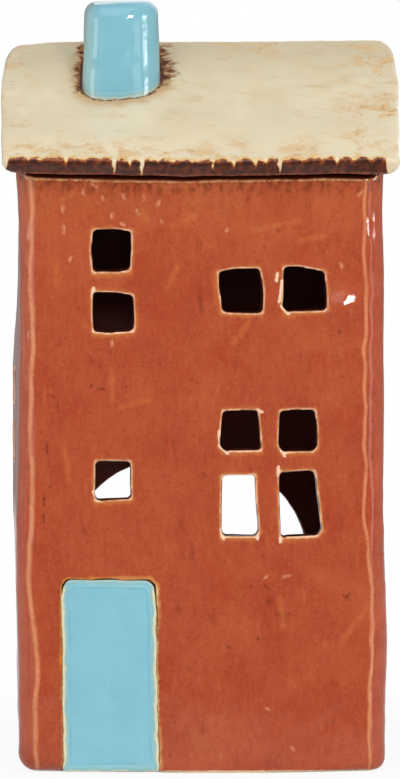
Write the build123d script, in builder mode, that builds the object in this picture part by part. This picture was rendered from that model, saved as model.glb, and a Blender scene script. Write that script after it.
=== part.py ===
from build123d import *
import os
from math import cos, radians, sin, tan

# A glazed stoneware tealight house: four walls, mitred at the corners, and a floor luted from
# clay slabs, a two-slab roof with a chimney block, a door panel, and a tealight that goes in
# through the rear arch. Millimetres, +Z up, the front faces -Y, origin at the middle of the footprint.

# Body
body_width = 74.0
body_depth = 64.0
wall_height = 122.0
wall = 5.0
corner_radius = 4.0
floor_thickness = 5.0

# Roof
roof_pitch = 32.0
roof_thickness = 3.8
eave_overhang = 4.5
gable_overhang = 2.6
ridge_radius = 4.0
roof_edge_radius = 1.2
eave_seam_drop = 1.9
eave_seam_depth = 1.0

# Chimney
chimney_width = 15.8
chimney_depth = 14.0
chimney_x = -15.8
chimney_back_y = -4.4
chimney_rise = 8.5
chimney_corner_radius = 3.5
chimney_top_radius = 2.4

# Door
door_width = 18.4
door_height = 39.0
door_margin = 9.7
door_corner_radius = 1.4
door_recess = 1.6
door_gap = 0.35
door_proud = 0.6
door_edge_radius = 0.5
door_foot_gap = 0.4

# Front windows, cut through the front wall
pane_width = 7.7
pane_height = 7.9
tall_pane_height = 11.9
pane_corner_radius = 0.7
left_column_x = -18.0
middle_column_x = 7.8
right_column_x = 20.1
attic_pane_z = 105.8
upper_left_pane_z = 93.4
upper_pane_z = 97.9
transom_pane_z = 69.1
casement_pane_z = 54.1
landing_pane_z = 59.7

# Side windows, one above the other in each gable wall
side_pane_width = 7.6
side_pane_height = 8.0
side_column_y = 0.0
side_upper_pane_z = 75.9
side_lower_pane_z = 64.6

# Rear arch
arch_width = 51.5
arch_top_z = 58.3
arch_radius = 22.4
arch_crown = 2.0
arch_x = -1.2

# Tealight
cup_diameter = 38.0
cup_height = 16.0
cup_foil = 0.3
cup_base_radius = 0.8
cup_rim_width = 0.7
cup_rim_height = 0.9
wax_depth = 12.2
wax_clearance = 0.3
wax_edge_radius = 0.8
tab_diameter = 12.0
tab_thickness = 0.4
tab_neck_diameter = 3.2
tab_neck_height = 2.8
tab_clearance = 0.15
wick_diameter = 1.7
wick_clearance = 0.05
wick_rise = 8.0

# Derived places
half_width = body_width / 2
half_depth = body_depth / 2
inner_width = body_width - 2 * wall
inner_depth = body_depth - 2 * wall
slope_rise = tan(radians(roof_pitch))
slope_sin = sin(radians(roof_pitch))
slope_cos = cos(radians(roof_pitch))
roof_width = body_width + 2 * gable_overhang
eave_y = half_depth + eave_overhang
under_ridge_z = wall_height + half_depth * slope_rise
top_ridge_z = under_ridge_z + roof_thickness / slope_cos
chimney_top_z = top_ridge_z + chimney_rise
chimney_y = chimney_back_y - chimney_depth / 2
door_x = -half_width + door_margin + door_width / 2
cup_radius = cup_diameter / 2
wax_radius = cup_radius - cup_foil - wax_clearance
wax_floor_z = floor_thickness + cup_foil
wax_top_z = wax_floor_z + wax_depth
tab_top_z = wax_floor_z + tab_thickness

# Planes on the underside and the top of the two roof slopes
front_underside = Plane((0, -half_depth, wall_height), x_dir=(1, 0, 0), z_dir=(0, -slope_sin, slope_cos))
rear_underside = Plane((0, half_depth, wall_height), x_dir=(1, 0, 0), z_dir=(0, slope_sin, slope_cos))
front_slope = front_underside.offset(roof_thickness)
front_face = Plane.XZ.offset(half_depth)
rear_face = Plane.XZ.offset(-half_depth)

front_panes = [
    (left_column_x, attic_pane_z),
    (left_column_x, upper_left_pane_z),
    (left_column_x, landing_pane_z),
    (middle_column_x, upper_pane_z),
    (right_column_x, upper_pane_z),
    (middle_column_x, transom_pane_z),
    (right_column_x, transom_pane_z),
]
tall_panes = [(middle_column_x, casement_pane_z), (right_column_x, casement_pane_z)]
side_panes = [(side_column_y, side_upper_pane_z), (side_column_y, side_lower_pane_z)]


def finish(piece, name):
    """Label one finished piece and write it to its own file."""
    piece.part.label = name
    export_step(piece.part, f"parts/{name}.step")


os.makedirs("parts", exist_ok=True)

# The four walls as one ring, before it is parted at the mitred corners
with BuildPart() as wall_ring:
    with BuildSketch(Plane.XY):
        RectangleRounded(body_width, body_depth, corner_radius)
        Rectangle(inner_width, inner_depth, mode=Mode.SUBTRACT)
    extrude(amount=under_ridge_z)
    split(bisect_by=front_underside, keep=Keep.BOTTOM)
    split(bisect_by=rear_underside, keep=Keep.BOTTOM)


def mitre(side_x, side_y):
    """The upright plane through one corner of the ring, its normal towards the side wall."""
    return Plane((side_x * half_width, side_y * half_depth, 0), z_dir=(side_x, -side_y, 0))


# Front wall: nine windows, the door recess, and a seam under the eave
with BuildPart() as front_wall:
    add(wall_ring.part)
    split(bisect_by=mitre(-1, -1), keep=Keep.BOTTOM)
    split(bisect_by=mitre(1, -1), keep=Keep.BOTTOM)
    with BuildSketch(front_face):
        with Locations(*front_panes):
            RectangleRounded(pane_width, pane_height, pane_corner_radius)
        with Locations(*tall_panes):
            RectangleRounded(pane_width, tall_pane_height, pane_corner_radius)
    extrude(amount=-wall, mode=Mode.SUBTRACT)
    with BuildSketch(front_face):
        with Locations((door_x, 0)):
            Rectangle(door_width, door_height, align=(Align.CENTER, Align.MIN))
        fillet(vertices().group_by(Axis.Y)[-1], door_corner_radius)
    extrude(amount=-door_recess, mode=Mode.SUBTRACT)
    with BuildSketch(front_face):
        with Locations((0, wall_height - eave_seam_drop)):
            Rectangle(body_width, 2 * eave_seam_drop, align=(Align.CENTER, Align.MIN))
    extrude(amount=-eave_seam_depth, mode=Mode.SUBTRACT)
finish(front_wall, "front_wall")

# Back wall: one arch from the floor's level up, and the same seam under the eave
with BuildPart() as back_wall:
    add(wall_ring.part)
    split(bisect_by=mitre(-1, 1), keep=Keep.BOTTOM)
    split(bisect_by=mitre(1, 1), keep=Keep.BOTTOM)
    with BuildSketch(rear_face):
        with Locations((arch_x, floor_thickness)):
            Rectangle(arch_width, arch_top_z - floor_thickness, align=(Align.CENTER, Align.MIN))
        fillet(vertices().group_by(Axis.Y)[-1], min(arch_radius, (arch_width - arch_crown) / 2))
    extrude(amount=wall, mode=Mode.SUBTRACT)
    with BuildSketch(rear_face):
        with Locations((0, wall_height - eave_seam_drop)):
            Rectangle(body_width, 2 * eave_seam_drop, align=(Align.CENTER, Align.MIN))
    extrude(amount=eave_seam_depth, mode=Mode.SUBTRACT)
finish(back_wall, "back_wall")


def gable_wall(name, side_x):
    """A side wall, parted from the ring at two mitres, with its two windows."""
    with BuildPart() as gable:
        add(wall_ring.part)
        split(bisect_by=mitre(side_x, -1), keep=Keep.TOP)
        split(bisect_by=mitre(side_x, 1), keep=Keep.TOP)
        with BuildSketch(Plane.YZ.offset(side_x * half_width)):
            with Locations(*side_panes):
                RectangleRounded(side_pane_width, side_pane_height, pane_corner_radius)
        extrude(amount=-side_x * wall, mode=Mode.SUBTRACT)
    finish(gable, name)


gable_wall("left_wall", -1)
gable_wall("right_wall", 1)

# Floor slab, let in between the four walls
with BuildPart() as floor_slab:
    with BuildSketch(Plane.XY):
        Rectangle(inner_width, inner_depth)
    extrude(amount=floor_thickness)
finish(floor_slab, "floor_slab")

# Roof slab: eave edge cut square to the slope, ridge mitred upright and rounded on top
with BuildPart() as front_roof_slab:
    with BuildSketch(Plane.YZ):
        with BuildLine():
            ridge_top = (0, top_ridge_z - ridge_radius * (1 / slope_cos - 1))
            ridge_side = (-ridge_radius * slope_sin, top_ridge_z - ridge_radius * slope_sin * slope_rise)
            eave_top = (-eave_y, top_ridge_z - eave_y * slope_rise)
            eave_foot = (-eave_y + roof_thickness * slope_sin, eave_top[1] - roof_thickness * slope_cos)
            RadiusArc(ridge_top, ridge_side, -ridge_radius)
            Polyline(ridge_side, eave_top, eave_foot, (0, under_ridge_z), ridge_top)
        make_face()
    extrude(amount=roof_width / 2, both=True)
    eave_face = faces().filter_by(Plane((0, 0, 0), z_dir=(0, slope_cos, slope_sin)))[0]
    slope_face = faces().filter_by(front_slope).sort_by(Axis.Z)[-1]
    gable_edges = slope_face.edges().filter_by(Axis((0, 0, 0), (0, slope_cos, slope_sin)))
    fillet(eave_face.edges() + gable_edges, roof_edge_radius)
finish(front_roof_slab, "front_roof_slab")

with BuildPart() as rear_roof_slab:
    mirror(front_roof_slab.part, about=Plane.XZ)
finish(rear_roof_slab, "rear_roof_slab")

# Chimney: a rounded block, its foot cut to the front slope
with BuildPart() as chimney:
    with BuildSketch(Plane.XY.offset(wall_height)):
        with Locations((chimney_x, chimney_y)):
            RectangleRounded(chimney_width, chimney_depth, chimney_corner_radius)
    extrude(amount=chimney_top_z - wall_height)
    fillet(faces().sort_by(Axis.Z)[-1].edges(), chimney_top_radius)
    split(bisect_by=front_slope, keep=Keep.TOP)
finish(chimney, "chimney")

# Door panel, set into its recess with a narrow gap all round
with BuildPart() as door_panel:
    with BuildSketch(front_face.offset(-door_recess)):
        with Locations((door_x, door_foot_gap)):
            Rectangle(
                door_width - 2 * door_gap,
                door_height - door_gap - door_foot_gap,
                align=(Align.CENTER, Align.MIN),
            )
        fillet(vertices(), door_corner_radius - door_gap)
    extrude(amount=door_recess + door_proud)
    fillet(faces().sort_by(Axis.Y)[0].edges(), door_edge_radius)
finish(door_panel, "door_panel")

# Tealight cup: thin pressed foil with a rolled rim, standing on the floor slab
with BuildPart() as tealight_cup:
    with Locations((0, 0, floor_thickness)):
        Cylinder(cup_radius, cup_height, align=(Align.CENTER, Align.CENTER, Align.MIN))
    fillet(edges().sort_by(Axis.Z)[0], cup_base_radius)
    with Locations((0, 0, floor_thickness + cup_height - cup_rim_height)):
        Cylinder(cup_radius + cup_rim_width, cup_rim_height, align=(Align.CENTER, Align.CENTER, Align.MIN))
    with Locations((0, 0, wax_floor_z)):
        Cylinder(
            cup_radius - cup_foil,
            cup_height,
            align=(Align.CENTER, Align.CENTER, Align.MIN),
            mode=Mode.SUBTRACT,
        )
finish(tealight_cup, "tealight_cup")

# Wick tab: a thin disc with a crimped neck that holds the wick upright
with BuildPart() as wick_tab:
    with Locations((0, 0, wax_floor_z)):
        Cylinder(tab_diameter / 2, tab_thickness, align=(Align.CENTER, Align.CENTER, Align.MIN))
    with Locations((0, 0, tab_top_z)):
        Cylinder(tab_neck_diameter / 2, tab_neck_height, align=(Align.CENTER, Align.CENTER, Align.MIN))
        Cylinder(
            wick_diameter / 2 + wick_clearance,
            tab_neck_height,
            align=(Align.CENTER, Align.CENTER, Align.MIN),
            mode=Mode.SUBTRACT,
        )
finish(wick_tab, "wick_tab")

# Wax, cast loose in the cup, with room underneath for the tab and its neck
with BuildPart() as tealight_wax:
    with Locations((0, 0, wax_floor_z)):
        Cylinder(wax_radius, wax_depth, align=(Align.CENTER, Align.CENTER, Align.MIN))
    fillet(edges().sort_by(Axis.Z)[-1], wax_edge_radius)
    with Locations((0, 0, wax_floor_z)):
        Cylinder(
            tab_diameter / 2 + tab_clearance,
            tab_thickness + tab_clearance,
            align=(Align.CENTER, Align.CENTER, Align.MIN),
            mode=Mode.SUBTRACT,
        )
        Cylinder(
            tab_neck_diameter / 2 + tab_clearance,
            tab_thickness + tab_neck_height + tab_clearance,
            align=(Align.CENTER, Align.CENTER, Align.MIN),
            mode=Mode.SUBTRACT,
        )
        Cylinder(
            wick_diameter / 2 + wick_clearance,
            wax_depth,
            align=(Align.CENTER, Align.CENTER, Align.MIN),
            mode=Mode.SUBTRACT,
        )
finish(tealight_wax, "tealight_wax")

# Wick, from the tab up through the wax
with BuildPart() as tealight_wick:
    with Locations((0, 0, tab_top_z)):
        Cylinder(
            wick_diameter / 2,
            wax_top_z - tab_top_z + wick_rise,
            align=(Align.CENTER, Align.CENTER, Align.MIN),
        )
finish(tealight_wick, "tealight_wick")
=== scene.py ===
import math
from functools import partialmethod

import bmesh
import bpy
import numpy as np
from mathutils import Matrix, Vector, kdtree, noise


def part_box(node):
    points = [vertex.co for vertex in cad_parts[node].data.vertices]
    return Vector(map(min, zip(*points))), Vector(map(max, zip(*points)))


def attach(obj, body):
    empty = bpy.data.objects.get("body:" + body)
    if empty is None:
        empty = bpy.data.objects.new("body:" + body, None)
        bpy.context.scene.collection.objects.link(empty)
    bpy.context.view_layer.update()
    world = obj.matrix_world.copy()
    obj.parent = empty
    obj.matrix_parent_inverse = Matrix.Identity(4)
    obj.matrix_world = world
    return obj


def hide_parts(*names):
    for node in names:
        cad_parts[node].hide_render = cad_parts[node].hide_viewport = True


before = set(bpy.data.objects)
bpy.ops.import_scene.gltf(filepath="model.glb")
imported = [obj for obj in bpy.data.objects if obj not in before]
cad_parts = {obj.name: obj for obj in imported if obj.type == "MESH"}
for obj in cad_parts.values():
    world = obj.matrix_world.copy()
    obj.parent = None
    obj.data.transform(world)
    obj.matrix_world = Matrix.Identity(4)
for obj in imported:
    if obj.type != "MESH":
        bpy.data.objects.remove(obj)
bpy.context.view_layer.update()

# A hand-built glazed tealight house. Sizes are in metres and follow the CAD nodes; outlines that
# were cut by hand are written in millimetres on the wall they were cut in.
MM = 0.001

# Places read from the frame
front_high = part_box("front_wall")[1]
back_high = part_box("back_wall")[1]
left_low, left_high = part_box("left_wall")
right_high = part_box("right_wall")[1]
roof_low, roof_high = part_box("front_roof_slab")
chimney_low, chimney_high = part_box("chimney")
door_low, door_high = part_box("door_panel")
floor_low, floor_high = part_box("floor_slab")
cup_low, cup_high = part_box("tealight_cup")
wax_low, wax_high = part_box("tealight_wax")
wick_low, wick_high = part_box("tealight_wick")
tab_low, tab_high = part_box("wick_tab")

# Roof sizes that the boxes don't give
EAVE_OVERHANG = 4.5 * MM
ROOF_THICKNESS = 3.8 * MM

half_width = right_high[0]
half_depth = back_high[1]
wall = left_high[0] - left_low[0]
inner_half_width = half_width - wall
inner_half_depth = half_depth - wall
floor_top = floor_high[2]
under_ridge = left_high[2]
pitch = math.atan2(under_ridge - front_high[2], inner_half_depth)
wall_top = front_high[2] - wall * math.tan(pitch)
roof_half_width = roof_high[0]
eave_reach = half_depth + EAVE_OVERHANG
chimney_middle = [(low + high) / 2 for low, high in zip(chimney_low, chimney_high)]
chimney_half = [(high - low) / 2 for low, high in zip(chimney_low, chimney_high)]

# Windows cut by hand in the front wall: outlines in x and z, millimetres
FRONT_WINDOWS = {
    "attic": [(-21.8, 109.8), (-17.7, 110.0), (-14.5, 109.6), (-14.4, 105.8), (-14.6, 101.9), (-17.0, 101.6),
              (-20.9, 101.7), (-21.8, 101.5), (-22.2, 105.8)],
    "upper_left": [(-21.9, 98.1), (-21.2, 97.6), (-17.4, 97.4), (-14.0, 96.9), (-13.6, 92.5), (-13.7, 89.9),
                   (-17.8, 89.5), (-21.6, 89.6), (-21.8, 92.0)],
    "upper_middle": [(3.3, 101.5), (6.2, 102.1), (11.3, 102.1), (11.6, 101.0), (12.1, 97.4), (11.9, 93.4),
                     (4.8, 93.5), (4.0, 93.6), (3.3, 99.2)],
    "upper_right": [(16.6, 102.3), (20.2, 102.3), (25.0, 101.4), (25.3, 98.3), (25.3, 93.9), (24.7, 93.5),
                    (18.0, 93.6), (17.2, 93.3), (16.1, 94.8), (16.4, 96.6)],
    "transom_middle": [(4.4, 73.3), (11.0, 73.4), (11.6, 73.6), (12.3, 65.3), (5.9, 65.3), (5.1, 65.0),
                       (3.9, 66.2)],
    "transom_right": [(16.2, 73.3), (19.8, 73.4), (23.2, 73.2), (23.6, 69.8), (23.5, 65.5), (22.8, 64.7),
                      (17.4, 64.8), (16.8, 64.5), (15.9, 66.2), (16.0, 69.9)],
    "casement_middle": [(4.5, 60.1), (11.1, 60.3), (11.2, 55.0), (11.6, 48.6), (11.0, 47.8), (5.0, 47.9),
                        (4.3, 47.7), (4.4, 55.0)],
    "casement_right": [(16.0, 60.9), (16.7, 60.4), (23.1, 60.6), (23.5, 58.7), (24.1, 53.0), (24.4, 48.9),
                       (23.6, 47.8), (17.2, 47.7), (16.2, 47.4), (16.1, 54.9)],
    "landing": [(-21.8, 63.6), (-14.6, 63.5), (-14.5, 59.8), (-14.3, 55.8), (-20.8, 55.6), (-21.6, 55.6),
                (-21.9, 56.9)],
}
# Side windows: outlines in y and z, millimetres
SIDE_WINDOWS = {
    "side_upper": [(-3.7, 79.7), (3.5, 80.0), (3.9, 72.1), (-3.5, 71.8)],
    "side_lower": [(-3.9, 68.5), (3.7, 68.8), (3.6, 60.4), (-3.6, 60.7)],
}
# Marks on the front wall, each by its two ends in x and z, millimetres; most are in the glaze, a few are painted
# highlights
# pale burrs where the knife overran a corner; a few of them are painted highlights, glints on the cut edges
NICKS_AND_GLINTS = [
    (16.0, 94.8, 17.5, 93.0), (15.2, 101.2, 14.9, 99.8), (4.1, 66.0, 5.5, 64.7), (16.7, 65.2, 17.2, 63.8),
    (15.8, 61.6, 15.9, 59.8), (16.1, 47.5, 16.1, 46.7), (4.2, 49.1, 4.7, 47.3), (11.4, 48.3, 11.5, 47.3),
    (-22.2, 57.4, -21.0, 55.6), (-21.8, 98.4, -21.8, 96.4), (3.7, 69.2, 4.1, 66.0), (12.5, 73.1, 11.7, 73.5),
    (16.1, 99.6, 15.5, 95.6),
]
# spots where the glaze stayed thin; the pale specks under the eave are painted highlights, glints where small
# dents caught the light
THIN_SPOTS_AND_GLINTS = [
    (-23.8, 117.5, -23.8, 116.9), (-20.2, 116.5, -20.0, 115.7), (-16.0, 116.9, -15.6, 116.1),
    (-11.8, 116.7, -11.8, 115.9), (-8.8, 115.9, -9.2, 114.9), (-28.0, 114.3, -28.0, 113.3),
    (-18.2, 113.3, -18.2, 112.3), (-13.2, 114.1, -13.0, 113.3), (-27.8, 110.3, -27.8, 108.9),
    (-16.4, 111.3, -15.8, 110.9), (-8.6, 112.1, -8.6, 111.3), (-26.6, 103.6, -26.2, 104.5),
    (-22.2, 118.9, -21.0, 118.3), (-17.8, 87.7, -17.8, 86.9), (4.9, 110.1, 4.9, 109.5),
    (31.6, 116.3, 32.6, 117.1), (28.3, 103.2, 28.5, 102.4), (18.5, 5.4, 18.9, 4.8), (13.1, 13.7, 13.7, 13.3),
    (12.9, 39.5, 13.5, 39.9), (16.5, 39.5, 17.9, 39.9),
]
# dark pits and scratches
PITS = [
    (-30.0, 76.9, -29.6, 76.3), (-29.0, 75.1, -28.8, 73.7), (-22.4, 78.5, -22.0, 79.1),
    (-20.8, 77.9, -19.6, 78.1), (-27.2, 88.6, -27.2, 88.2), (-15.2, 78.7, -15.0, 78.3),
    (10.1, 38.0, 10.1, 37.6), (11.5, 27.6, 11.5, 27.2), (22.9, 26.2, 22.9, 25.8), (26.9, 10.9, 26.9, 10.5),
    (-6.2, 3.6, -6.0, 3.4), (-5.4, 10.5, -5.4, 10.1), (-30.8, 58.6, -30.6, 58.2), (-31.8, 56.2, -31.8, 54.3),
    (-31.8, 52.7, -31.8, 50.9), (28.5, 36.0, 29.8, 34.8), (28.9, 35.2, 30.0, 36.4), (12.9, 38.0, 13.9, 37.0),
    (5.3, 26.2, 6.3, 25.4), (-31.4, 67.4, -31.2, 65.0), (27.9, 89.6, 28.1, 88.8), (-18.2, 85.7, -18.0, 85.3),
    (0.7, 60.6, 0.9, 60.0),
]
# ochre brush strokes
STROKES = [
    (-6.6, 110.7, -1.7, 112.5), (-7.0, 98.4, -5.0, 102.6), (9.9, 109.5, 19.9, 111.5),
    (-29.2, 103.2, -29.2, 99.2), (-27.8, 66.0, -27.0, 59.8), (-18.2, 81.9, -17.8, 75.9),
    (15.9, 35.2, 16.5, 30.0), (27.9, 26.2, 33.2, 33.6), (-8.2, 118.7, -3.7, 118.9), (19.9, 107.7, 24.9, 108.5),
    (5.9, 87.1, 9.1, 91.6), (-25.8, 116.7, -28.2, 115.3), (-11.8, 113.7, -11.6, 111.7), (2.7, 101.6, 2.7, 95.6),
    (-16.2, 74.5, -10.2, 75.9),
]
# The door recess, outline in x and z, millimetres
DOOR_OUTLINE = [(-26.8, 39.4), (-18.5, 39.7), (-10.2, 39.3), (-9.1, 38.1), (-8.9, 30.0), (-8.6, 14.9),
                (-8.4, 1.9), (-8.4, -2.0), (-27.6, -2.0), (-27.6, 2.0), (-27.5, 23.5), (-27.8, 36.2),
                (-27.6, 38.4)]
DOOR_RECESS = 1.6 * MM
DOOR_THICKNESS = 2.2 * MM
DOOR_PROUD = 0.1 * MM
# How far the panel's edge stands in from the door outline, millimetres; below nought it stands out
DOOR_INSET_TOP = 0.3
DOOR_INSET_LEFT = -0.25
DOOR_INSET_RIGHT = -0.15
DOOR_TOP_FROM = 38

ARCH_X = -1.2 * MM
ARCH_HALF_WIDTH = 25.75 * MM
ARCH_TOP = 58.3 * MM
ARCH_RADIUS = 22.4 * MM
ARCH_STEPS = 18

# Rounded edges; where left and right differ, left is under -1 and right under 1
CORNER_RADIUS = 4.0 * MM
INNER_CORNER_RADIUS = 1.5 * MM
FOOT_CORNER_RADIUS = {-1: 4.0 * MM, 1: 2.6 * MM}
ROOF_END_RADIUS = {-1: 3.7 * MM, 1: 3.5 * MM}
EAVE_END_RADIUS = 2.4 * MM
CHIMNEY_CORNER_RADIUS = 3.5 * MM
CHIMNEY_TOP_RADIUS = 2.6 * MM
# Corners of knife-cut outlines
WINDOW_ROUNDING = 0.12 * MM
SIDE_ROUNDING = 0.3 * MM
RECESS_ROUNDING = 0.4 * MM
DOOR_ROUNDING = 1.4 * MM
# Planes that round the roof's ends, in degrees from upright
ROOF_END_LEANS = (12, 26, 40, 54, 68, 80)
EAVE_END_LEANS = (25, 55)

# The groove between wall and eave
SEAM_DEPTH = 0.8 * MM
SEAM_HEIGHT = 1.9 * MM
SEAM_CLEAR = 2.0 * MM

# The chimney narrows to these shares at its top and front, bows and stands a little into the roof
CHIMNEY_TOP_WIDTH = 0.96
CHIMNEY_TOP_DEPTH = 0.93
CHIMNEY_FRONT_WIDTH = 0.95
CHIMNEY_BOW = 1.9 * MM
CHIMNEY_BOW_SHIFT = 0.3
CHIMNEY_SUNK = 1.2 * MM
CHIMNEY_ROUGH_SUNK = 3 * MM
CHIMNEY_FOOT_STEPS = 48

# Cells of the clay skins
CLAY_VOXEL = 0.45 * MM
CHIMNEY_VOXEL = 0.4 * MM
DOOR_VOXEL = 0.3 * MM
FLOOR_VOXEL = 0.8 * MM

# How far rough blocks and cutters reach past the clay
SPARE = 9 * MM
ROOF_BLOCK_DROP = 12 * MM
BELOW_BLOCK_DROP = 60 * MM
# Outline cutters start ahead of a face and end past its depth, in shares of that depth
CUT_AHEAD = 0.4
CUT_PAST = 1.4
CUT_LENGTH = 1.8
CUT_THRESHOLD = 0.001 * MM

SMOOTH_UNDER = math.radians(40)
# Stands for "no mark near here", millimetres
FAR = 9.0


# Modelling helpers

def pick(obj):
    """Make one object the only selected and active one."""
    bpy.ops.object.select_all(action="DESELECT")
    obj.select_set(True)
    bpy.context.view_layer.objects.active = obj


def edit(obj):
    pick(obj)
    bpy.ops.object.mode_set(mode="EDIT")


def edit_all(obj):
    """Go into edit mode with the whole mesh selected."""
    edit(obj)
    bpy.ops.mesh.select_all(action="SELECT")


def leave_edit():
    bpy.ops.object.mode_set(mode="OBJECT")


def block(name, low, high):
    """A cube primitive stretched between two corners."""
    bpy.ops.object.select_all(action="DESELECT")
    low, high = Vector(low), Vector(high)
    bpy.ops.mesh.primitive_cube_add(size=1, location=(low + high) / 2)
    obj = bpy.context.object
    obj.name = name
    obj.scale = high - low
    bpy.ops.object.transform_apply(location=True, rotation=True, scale=True)
    return obj


def select_edges(obj, wanted):
    """In edit mode, select the edges whose two ends pass the test."""
    mesh = bmesh.from_edit_mesh(obj.data)
    bpy.ops.mesh.select_all(action="DESELECT")
    bpy.context.tool_settings.mesh_select_mode = (False, True, False)
    for e in mesh.edges:
        e.select_set(wanted(e.verts[0].co, e.verts[1].co))
    bmesh.update_edit_mesh(obj.data)


def round_edges(obj, wanted, radius, segments=6):
    edit(obj)
    select_edges(obj, wanted)
    bpy.ops.mesh.bevel(offset=radius, segments=segments, affect="EDGES", clamp_overlap=True)
    leave_edit()


def slice_off(obj, point, normal):
    """Cut away what lies past a plane and close the cut."""
    edit_all(obj)
    bpy.ops.mesh.bisect(plane_co=point, plane_no=normal, use_fill=True, clear_outer=True,
                        threshold=CUT_THRESHOLD)
    leave_edit()


def modifier(obj, kind, **settings):
    """Add one modifier, set it and apply it."""
    pick(obj)
    mod = obj.modifiers.new(kind.lower(), kind)
    for key, value in settings.items():
        setattr(mod, key, value)
    bpy.ops.object.modifier_apply(modifier=mod.name)


def carve(obj, cutter):
    """Boolean difference; the cutter is used up."""
    modifier(obj, "BOOLEAN", object=cutter, operation="DIFFERENCE", solver="EXACT")
    bpy.data.objects.remove(cutter)


def outline_cutter(name, points, place, depth, round_by):
    """A knife-cut outline, its corners rounded, extruded along a depth vector; and its rim."""
    bpy.ops.object.select_all(action="DESELECT")
    bpy.ops.mesh.primitive_circle_add(vertices=len(points), radius=1, fill_type="NGON")
    obj = bpy.context.object
    obj.name = name
    for vertex, point in zip(obj.data.vertices, points):
        vertex.co = place(*point)
    edit_all(obj)
    bpy.ops.mesh.bevel(offset=round_by, segments=3, affect="VERTICES", clamp_overlap=True)
    leave_edit()
    rim = [obj.data.vertices[i].co.copy() for i in obj.data.polygons[0].vertices]
    edit_all(obj)
    bpy.ops.transform.translate(value=-CUT_AHEAD * Vector(depth))
    bpy.ops.mesh.extrude_region_move(TRANSFORM_OT_translate={"value": [CUT_LENGTH * d for d in depth]})
    bpy.ops.mesh.select_all(action="SELECT")
    bpy.ops.mesh.normals_make_consistent(inside=False)
    leave_edit()
    return obj, rim


def shade(obj):
    pick(obj)
    bpy.ops.object.shade_smooth_by_angle(angle=SMOOTH_UNDER)


def part(whole, cuts):
    """Part one skin into nodes, each what is left inside its own planes; the whole is used up."""
    pieces = {}
    for node, planes in cuts.items():
        piece = whole.copy()
        piece.data = whole.data.copy()
        piece.name = "glazed_" + node
        bpy.context.collection.objects.link(piece)
        for point, normal in planes:
            slice_off(piece, point, normal)
        shade(piece)
        pieces[node] = piece
    bpy.data.objects.remove(whole)
    return pieces


def dots_along(loop, gap=0.15 * MM):
    """Close-set points round a closed outline, for measuring distance to it."""
    dots = []
    for a, b in zip(loop, loop[1:] + loop[:1]):
        steps = max(1, int((b - a).length / gap))
        dots += [a.lerp(b, i / steps) for i in range(steps)]
    return dots


def distance_tree(dots):
    tree = kdtree.KDTree(len(dots))
    for i, dot in enumerate(dots):
        tree.insert(dot, i)
    tree.balance()
    return tree


def how_far(obj, loop):
    """The distance of every vertex from a closed outline, millimetres."""
    tree = distance_tree(dots_along(loop))
    return [tree.find(v.co)[2] / MM for v in obj.data.vertices]


def store(obj, name, values):
    """Keep one number per vertex as a named attribute."""
    layer = obj.data.attributes.new(name, "FLOAT", "POINT")
    layer.data.foreach_set("value", np.asarray(values, dtype=np.float32))


def spots(obj):
    """All vertex places as rows of x, y, z in millimetres."""
    flat = np.empty(len(obj.data.vertices) * 3, dtype=np.float32)
    obj.data.vertices.foreach_get("co", flat)
    return flat.reshape(-1, 3).astype(float) / MM


def put_spots(obj, rows):
    obj.data.vertices.foreach_set("co", (rows * MM).astype(np.float32).ravel())
    obj.data.update()


# Hand-built unevenness, the same field for every clay piece so that seams stay closed

# Soft pushes: where, how far it reaches and which way it goes, millimetres
PUSHES = [
    ((-37, -2, 72), 30, (-0.5, 0, 0)),
    ((-37, 12, 72), 17, (-0.6, 0, 0)),
    ((-37, 4, 50), 17, (-0.7, 0, 0)),
    ((-37, -24, 72), 22, (0.6, 0, 0)),
    ((-37, 2, 119), 32, (1.5, 0, 0)),
    ((-37, 0, 8), 24, (0.5, 0, 0)),
    ((37, -20, 74), 9, (0.45, 0, 0)),
    ((37, -20, 30), 11, (0.6, 0, 0)),
    ((37, 0, 112), 22, (-0.3, 0, 0)),
    ((37, -12, 8), 19, (1.0, 0, 0)),
    ((39, -16, 137), 14, (0.6, 0, 0)),
    ((-39, -18, 134), 16, (-0.8, 0, 0)),
    ((-39, 0, 147), 13, (0, 0, -0.5)),
    ((16, 0, 149), 19, (0, 0, 0.55)),
    ((-24, -18, 138), 5, (-0.5, 0, 0)),
    ((-23, -14, 154), 4, (0.3, 0, -0.3)),
    ((27.9, -32, 93.7), 3.3, (0, -1.0, 0)),
    ((33.8, -31.8, 107.5), 3.5, (0.15, -0.65, 0)),
]
# Clay is free to move from this height up, in millimetres, and less and less below it
LOOSE_FROM = 7.0
LOOSE_STEPS = 10


def cloud(name, size):
    tex = bpy.data.textures.new(name, "CLOUDS")
    tex.cloud_type = "COLOR"
    tex.noise_scale = size
    tex.noise_depth = 1
    return tex


slow_wobble = cloud("slow_wobble", 34 * MM)
quick_wobble = cloud("quick_wobble", 9 * MM)
finger_wobble = cloud("finger_wobble", 3.2 * MM)


def hand_wobble(obj, slow=1.5 * MM, quick=0.4 * MM, finger=0.1 * MM):
    """Bend a clay piece out of true, leaving its foot flat on the table."""
    loose = obj.vertex_groups.new(name="loose")
    share = np.clip(np.ceil(spots(obj)[:, 2] / LOOSE_FROM * LOOSE_STEPS), 1, LOOSE_STEPS)
    for level in range(1, LOOSE_STEPS + 1):
        loose.add(np.nonzero(share == level)[0].tolist(), level / LOOSE_STEPS, "REPLACE")
    for tex, strength in ((slow_wobble, slow), (quick_wobble, quick), (finger_wobble, finger)):
        modifier(obj, "DISPLACE", texture=tex, texture_coords="GLOBAL", direction="RGB_TO_XYZ",
                 strength=strength, mid_level=0.5, vertex_group="loose")
    obj.vertex_groups.clear()
    rows = spots(obj)
    moved = np.zeros_like(rows)
    for place, reach, push in PUSHES:
        near = np.exp(-(((rows - np.array(place)) ** 2).sum(axis=1)) / reach ** 2)
        moved += near[:, None] * np.array(push)
    put_spots(obj, rows + moved)


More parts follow.
